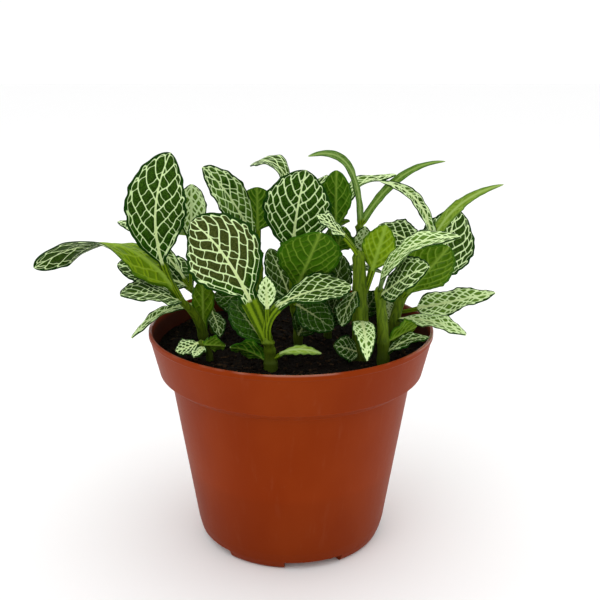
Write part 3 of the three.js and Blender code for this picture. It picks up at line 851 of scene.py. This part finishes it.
def make_stem(name, node, stem, bases, material, rng):
    """A stem from its root end to its bud, thicker where leaves start."""
    shares = np.linspace(0, 1, 40)
    line = stem_curve(stem).at(shares)
    top = line[-1]
    foot = np.array([[*stem.root, z] for z in (SOIL_TOP - ROOT_DEPTH, SOIL_TOP - 6)])
    bud = [top + np.array([0, 0, stem.radius * rise]) for rise in BUD[:, 0]]
    line = np.concatenate([foot, line, bud])
    radii = [[stem.radius] * 2, stem.radius * (1 - 0.25 * shares ** 2), stem.radius * BUD[:, 1]]
    radii = np.concatenate(radii)
    for base in bases:
        near = np.exp(-((line[:, 2] - base[2]) / JOINT_LENGTH) ** 2)
        radii = radii + JOINT_SWELL * near * (line[:, 2] <= top[2])
    angles = np.arange(0, 360, 18)
    around = np.array([compass(angle) for angle in angles])
    ribs = 1 + 0.05 * np.cos(np.radians(4 * (angles + rng.uniform(0, 90))))
    points = [place + (radius * ribs)[:, None] * around for place, radius in zip(line, radii)]
    points = np.concatenate(points)
    tall = np.clip((points[:, 2] - SOIL_TOP) / 30, 0, 1)
    values = {"growth": np.stack([tall, tall, tall], 1)}
    faces = ring_faces(len(line), len(angles))
    make_piece(name, points, faces, node, material, values=values)


def blade_width(along, peak):
    """Narrow at the base, widest a little past the peak and round at the tip, from 0 to 1."""
    along = np.clip(along, 0, 1) ** (math.log(0.5) / math.log(peak))
    return np.sin(np.pi * along) ** (0.95 - 0.35 * along)


def leaf_line(leaf):
    """A leaf's middle line from the stem to its tip, and the way that its face looks."""
    base = leaf_base(STEMS[leaf.stem], leaf.at)
    tip = np.array(leaf.tip, float)
    run = tip - base
    side = unit(np.cross(run, compass(*leaf.face)))
    up = unit(np.cross(side, run))
    control = base + run * leaf.crest + up * 2 * leaf.arch + side * 2 * leaf.bow
    return Curve(base, control, tip), up


def leaf_outline(leaf, inside, distance, seed):
    """Half the leaf's width along it: first its stalk, then its ruffled blade."""
    stalk = leaf.neck * (0.6 + 0.4 * np.clip(distance / leaf.stalk, 0, 1))
    tip = TIP_WIDTH * np.sqrt(np.clip((1 - inside) * 12, 0, 1))
    narrow = np.where(inside < 0.5, stalk, tip)
    ruffle = 1.0
    for count, height, shift in RUFFLES:
        ruffle = ruffle + height * np.sin(TURN * count * inside + shift * seed)
    half = np.maximum(leaf.width * blade_width(inside, leaf.peak) * ruffle, narrow) / 2
    half[-1] = 0.12
    return half


def leaf_sides(leaf, look, inside, half, blade, seed):
    """How high the upper and the lower side lie over the middle line, row by row."""
    q = ACROSS[None, :]
    wide = half[:, None]
    swell = 2 * half / leaf.width
    wave = leaf.wave * swell * np.sin(TURN * WAVES * inside)
    frill = 0.3 * swell * np.sin(TURN * FRILLS * inside + 3 * seed)
    bend = leaf.fold * wide * np.abs(q) ** 1.3
    bend = bend + wave[:, None] * q * q
    bend = bend + frill[:, None] * q ** 4 * np.sign(q)

    grown = np.clip(inside * 5, 0, 1)
    depth = STALK_DEPTH + (look.blade / MM - STALK_DEPTH) * grown
    depth = np.minimum(depth, 4 * half)[:, None]
    grown = grown[:, None]
    round_edge = np.sqrt(np.clip(1 - q * q, 0, 1))
    flat_edge = np.clip((1 - np.abs(q)) * 5, 0, 1) ** 0.5
    form = (1 - grown) * round_edge + grown * flat_edge

    row, across, wide = np.broadcast_arrays(inside[:, None], q, wide)
    near, _, _ = vein_distance(row, across, wide, blade, leaf.width / 2, seed, leaf.cream)
    soft = np.clip((near + 0.1) / 1.1, 0, 1)
    left = 1 - inside[:, None]
    y = np.abs(q) * wide
    pillow = soft * soft * (3 - 2 * soft) * grown * form * np.clip(2 * left, 0, 1)
    pillow = look.quilting / MM * pillow
    groove = 0.22 * np.exp(-((y / 0.8) ** 2)) * grown * left
    rib = (0.6 * left + 0.15) * np.exp(-((y / (0.9 - 0.4 * row)) ** 2)) * grown
    upper = bend + form * depth / 2 + pillow - groove
    lower = bend - form * depth / 2 - rib * form + 0.6 * pillow
    return upper, lower


def leaf_corners(rise, around):
    """A place on the leaf's map for each corner of its faces.

    The upper side lies in the left half of the map and the lower side in the right half,
    which tells the material which side it paints.
    """
    upper = 0.01 + 0.48 * (ACROSS + 1) / 2
    lower = 0.99 - 0.48 * (ACROSS[::-1] + 1) / 2
    sides = [*zip(upper, upper[1:]), *zip(lower, lower[1:])]
    corners = []
    for near, far in zip(rise, rise[1:]):
        for left, right in sides:
            corners += [(left, near), (right, near), (right, far), (left, far)]
    corners += [(0.25 + 0.2 * across, rise[0]) for across in around[::-1]]
    corners += [(0.25 + 0.2 * across, rise[-1]) for across in around]
    return corners


def make_leaf(name, node, leaf, look, material, seed):
    """A leaf with its stalk, wound in rings from the stem to its tip."""
    midrib, up = leaf_line(leaf)
    blade = midrib.length - leaf.stalk
    steps = 1 - (1 - np.linspace(0, 1, look.detail + 1)) ** 1.25
    stalk = np.linspace(0, leaf.stalk, 7)[:-1]
    distance = np.concatenate([stalk, leaf.stalk + blade * steps])
    along = (distance - leaf.stalk) / blade
    inside = np.clip(along, 0, 1)

    share = midrib.share(distance)
    tangent = midrib.tangent(share)
    normal = up - (tangent @ up)[:, None] * tangent
    normal /= np.linalg.norm(normal, axis=1, keepdims=True)
    angle = (np.radians(leaf.twist) * (inside - 0.5))[:, None]
    normal = normal * np.cos(angle) - np.cross(tangent, normal) * np.sin(angle)
    lateral = np.cross(tangent, normal)

    half = leaf_outline(leaf, inside, distance, seed)
    upper, lower = leaf_sides(leaf, look, inside, half, blade, seed)
    aside = ACROSS[None, :] * half[:, None]
    middle = midrib.at(share)[:, None, :] + lateral[:, None, :] * aside[..., None]
    top_points = middle + normal[:, None, :] * upper[..., None]
    low_points = middle + normal[:, None, :] * lower[..., None]
    rings = np.concatenate([top_points, low_points[:, -2:0:-1]], axis=1)
    around = np.concatenate([ACROSS, ACROSS[-2:0:-1]])

    shape = rings.shape[:2]
    spots = np.broadcast_arrays(along[:, None], around[None, :], half[:, None])
    values = {
        "blade": np.stack(spots, -1),
        "size": np.tile([blade, leaf.width / 2, seed], (*shape, 1)),
        "looks": np.tile([leaf.olive, leaf.cream, leaf.back], (*shape, 1)),
    }
    values = {key: rows.reshape(-1, 3) for key, rows in values.items()}
    corners = leaf_corners(0.01 + 0.98 * distance / midrib.length, around)
    points = rings.reshape(-1, 3)
    make_piece(name, points, ring_faces(*shape), node, material, corners, values)


def make_floor(stage):
    paint = Paint("pale_floor")
    material = paint.finish(Base_Color=stage.floor, Roughness=0.8, Specular_IOR_Level=0.1)
    mesh = bpy.data.meshes.new("floor")
    far = FLOOR_REACH
    corners = [(-far, -far, 0), (far, -far, 0), (far, far, 0), (-far, far, 0)]
    mesh.from_pydata(corners, [], [(0, 1, 2, 3)])
    mesh.materials.append(material)
    floor = bpy.data.objects.new("floor", mesh)
    bpy.context.scene.collection.objects.link(floor)


def make_lights(stage):
    """White light from all around and three soft lamps."""
    scene = bpy.context.scene
    scene.view_settings.view_transform = "Standard"
    scene.world = bpy.data.worlds.new("studio")
    scene.world.use_nodes = True
    background = scene.world.node_tree.nodes["Background"]
    background.inputs["Color"].default_value = (1, 1, 1, 1)
    background.inputs["Strength"].default_value = SKY
    for name, place, size, share in LAMPS:
        light = bpy.data.lights.new(name, "AREA")
        light.shape = "SQUARE"
        light.size = size
        light.energy = stage.key * share
        lamp = bpy.data.objects.new(name, light)
        lamp.location = place
        aim = Vector(AIM) - Vector(place)
        lamp.rotation_euler = aim.to_track_quat("-Z", "Y").to_euler()
        scene.collection.objects.link(lamp)


def make_camera(stage):
    camera = bpy.data.objects.new("camera", bpy.data.cameras.new("camera"))
    camera.data.sensor_width = 36
    camera.data.lens = stage.lens
    camera.data.shift_x = SHIFT
    camera.location = (POT_CENTRE.x, POT_CENTRE.y - stage.distance, stage.height)
    camera.rotation_euler = (math.pi / 2 - stage.pitch, 0, 0)
    bpy.context.scene.collection.objects.link(camera)
    bpy.context.scene.camera = camera


# Settings


def colour_setting(name, description, default):
    return bpy.props.FloatVectorProperty(
        name=name,
        description=description,
        default=(*default, 1.0),
        subtype="COLOR",
        size=4,
        min=0,
        max=1,
    )


def number_setting(name, description, default, low, high, **kind):
    return bpy.props.FloatProperty(
        name=name, description=description, default=default, min=low, max=high, **kind
    )


def count_setting(name, description, default, low, high):
    return bpy.props.IntProperty(
        name=name, description=description, default=default, min=low, max=high
    )


class PotSettings(bpy.types.PropertyGroup):
    """What can be changed on the pot."""

    colour: colour_setting("Plastic", "The pot's terracotta colour", (0.215, 0.024, 0.0012))
    colour_worn: colour_setting("Worn plastic", "The faded plastic", (0.245, 0.032, 0.003))
    # On the lip this colour is partly wear and partly a painted highlight.
    dust_and_highlight: colour_setting("Dust", "The pale dust on the wall and the lip", (0.36, 0.15, 0.09))
    # Painted shade on the inside of the wall above the soil and on the outside towards the base; a
    # little of it tints all the plastic.
    painted_shade: colour_setting("Painted shade", "The soil that sticks to the plastic", (0.02, 0.006, 0.003))
    roughness: number_setting(
        "Roughness", "How matt the plastic is", 0.36, 0, 1, subtype="FACTOR"
    )


class SoilSettings(bpy.types.PropertyGroup):
    """What can be changed on the soil."""

    colour: colour_setting("Peat", "The dark potting mix", (0.003, 0.0022, 0.0018))
    colour_light: colour_setting("Dry peat", "The drier crumbs", (0.014, 0.0095, 0.0065))
    fibre: colour_setting("Fibre", "The bits of bark and fibre", (0.075, 0.042, 0.02))
    crumb_count: count_setting("Crumbs", "How many crumbs lie on the soil", 1500, 0, 2300)
    crumb_size: number_setting(
        "Crumb size", "The radius of an ordinary crumb", 0.0011, 0.0002, 0.005, unit="LENGTH"
    )


class LeafSettings(bpy.types.PropertyGroup):
    """What can be changed on the leaves and stems."""

    blade: number_setting(
        "Blade thickness", "How thick a leaf's blade is", 0.0006, 0.0002, 0.003, unit="LENGTH"
    )
    quilting: number_setting(
        "Quilting", "How far the blade's cells swell", 0.00035, 0, 0.002, unit="LENGTH"
    )
    relief: number_setting(
        "Relief", "How strongly the finish shows the net", 0.7, 0, 1, subtype="FACTOR"
    )
    detail: count_setting("Detail", "How many steps a blade has along its length", 54, 8, 200)
    cell_dark: colour_setting("Deep cell", "Dark green between the veins", (0.005, 0.03, 0.0006))
    cell_light: colour_setting("Light cell", "Its lighter flecks", (0.028, 0.105, 0.003))
    olive_dark: colour_setting("Olive cell", "Brownish green cells", (0.022, 0.034, 0.004))
    olive_light: colour_setting("Light olive cell", "Their lighter flecks", (0.07, 0.085, 0.018))
    margin: colour_setting("Margin", "The plain green along the edge", (0.005, 0.036, 0.002))
    young: colour_setting("Young leaf", "The pale green of new leaves", (0.21, 0.4, 0.05))
    vein: colour_setting("Vein", "The cream veins", (0.7, 0.86, 0.46))
    vein_soft: colour_setting("Soft vein", "The greener parts of the veins", (0.5, 0.7, 0.28))
    midrib: colour_setting("Midrib", "The yellower foot of the midrib", (0.5, 0.52, 0.18))
    under_dark: colour_setting("Underside", "The plain green below", (0.022, 0.098, 0.0025))
    # Partly painted light: each leaf's back value mixes its underside towards this colour in place
    # of light shining through the blade.
    under_bright: colour_setting("Bright underside", "Its yellow green", (0.21, 0.33, 0.006))
    under_vein: colour_setting("Underside vein", "The paler veins below", (0.26, 0.4, 0.05))
    stalk: colour_setting("Stalk", "The green of stalks and stems", (0.17, 0.27, 0.009))
    stalk_dark: colour_setting("Shaded stalk", "Its darker streaks", (0.032, 0.072, 0.002))
    # The darker colour towards the foot of each stem.
    stem_foot: colour_setting("Stem foot", "The olive foot of the stems", (0.035, 0.055, 0.004))


class StageSettings(bpy.types.PropertyGroup):
    """What can be changed around the plant."""

    distance: number_setting(
        "Camera distance", "From the camera to the pot's middle", 0.375, 0.1, 5, unit="LENGTH"
    )
    height: number_setting(
        "Camera height", "How high the camera is above the floor", 0.218, 0, 5, unit="LENGTH"
    )
    pitch: number_setting(
        "Camera pitch", "How far it looks down", math.radians(16.8), -1.5, 1.5, subtype="ANGLE"
    )
    lens: number_setting("Lens", "The focal length in millimetres", 55.68, 10, 300)
    key: number_setting("Key light", "The brightest lamp's power", 1.6, 0, 500, unit="POWER")
    floor: colour_setting("Floor", "The pale floor", (0.96, 0.96, 0.96))


class PlantSettings(bpy.types.PropertyGroup):
    """All that can be changed on the plant."""

    pot: bpy.props.PointerProperty(type=PotSettings)
    soil: bpy.props.PointerProperty(type=SoilSettings)
    leaves: bpy.props.PointerProperty(type=LeafSettings)
    stage: bpy.props.PointerProperty(type=StageSettings)


# Operators


class PLANT_OT_pot(bpy.types.Operator):
    """Build the pot with its feet and drain holes"""

    bl_idname = "plant.pot"
    bl_label = "Build pot"

    def execute(self, context):
        make_pot(context.scene.plant.pot)
        return {"FINISHED"}


class PLANT_OT_soil(bpy.types.Operator):
    """Fill the pot with soil and its crumbs"""

    bl_idname = "plant.soil"
    bl_label = "Build soil"

    def execute(self, context):
        make_soil(context.scene.plant.soil)
        return {"FINISHED"}


def node_of(key):
    return f"leafy_stem_{list(STEMS).index(key) + 1:02d}"


class PLANT_OT_stems(bpy.types.Operator):
    """Build the stems with their buds"""

    bl_idname = "plant.stems"
    bl_label = "Build stems"

    def execute(self, context):
        material = stem_material(context.scene.plant.leaves)
        rng = np.random.default_rng(STEM_SEED)
        for number, (key, stem) in enumerate(STEMS.items(), 1):
            bases = [leaf_base(stem, leaf.at) for leaf in LEAVES if leaf.stem == key]
            make_stem(f"stem_{number:02d}", node_of(key), stem, bases, material, rng)
        return {"FINISHED"}


class PLANT_OT_leaves(bpy.types.Operator):
    """Build the leaves with their net of veins"""

    bl_idname = "plant.leaves"
    bl_label = "Build leaves"

    def execute(self, context):
        look = context.scene.plant.leaves
        material = leaf_material(look)
        for number, leaf in enumerate(LEAVES, 1):
            make_leaf(f"leaf_{number:02d}", node_of(leaf.stem), leaf, look, material, 0.7 * number)
        return {"FINISHED"}


class PLANT_OT_stage(bpy.types.Operator):
    """Set up the floor, the lights and the camera"""

    bl_idname = "plant.stage"
    bl_label = "Build stage"

    def execute(self, context):
        stage = context.scene.plant.stage
        make_floor(stage)
        make_lights(stage)
        make_camera(stage)
        return {"FINISHED"}


class PLANT_PT_panel(bpy.types.Panel):
    """The plant's buttons and settings in the sidebar"""

    bl_label = "Nerve plant"
    bl_space_type = "VIEW_3D"
    bl_region_type = "UI"
    bl_category = "Plant"

    def draw(self, context):
        settings = context.scene.plant
        for operator in OPERATORS:
            self.layout.operator(operator.bl_idname)
        for group in (settings.pot, settings.soil, settings.leaves, settings.stage):
            box = self.layout.box()
            for name in group.__annotations__:
                box.prop(group, name)


GROUPS = (PotSettings, SoilSettings, LeafSettings, StageSettings, PlantSettings)
OPERATORS = (PLANT_OT_pot, PLANT_OT_soil, PLANT_OT_stems, PLANT_OT_leaves, PLANT_OT_stage)


def register():
    for cls in (*GROUPS, *OPERATORS, PLANT_PT_panel):
        bpy.utils.register_class(cls)
    bpy.types.Scene.plant = bpy.props.PointerProperty(type=PlantSettings)


def unregister():
    del bpy.types.Scene.plant
    for cls in reversed((*GROUPS, *OPERATORS, PLANT_PT_panel)):
        bpy.utils.unregister_class(cls)


def main():
    register()
    bpy.ops.plant.pot()
    bpy.ops.plant.soil()
    bpy.ops.plant.stems()
    bpy.ops.plant.leaves()
    bpy.ops.plant.stage()


if __name__ == "__main__":
    main()
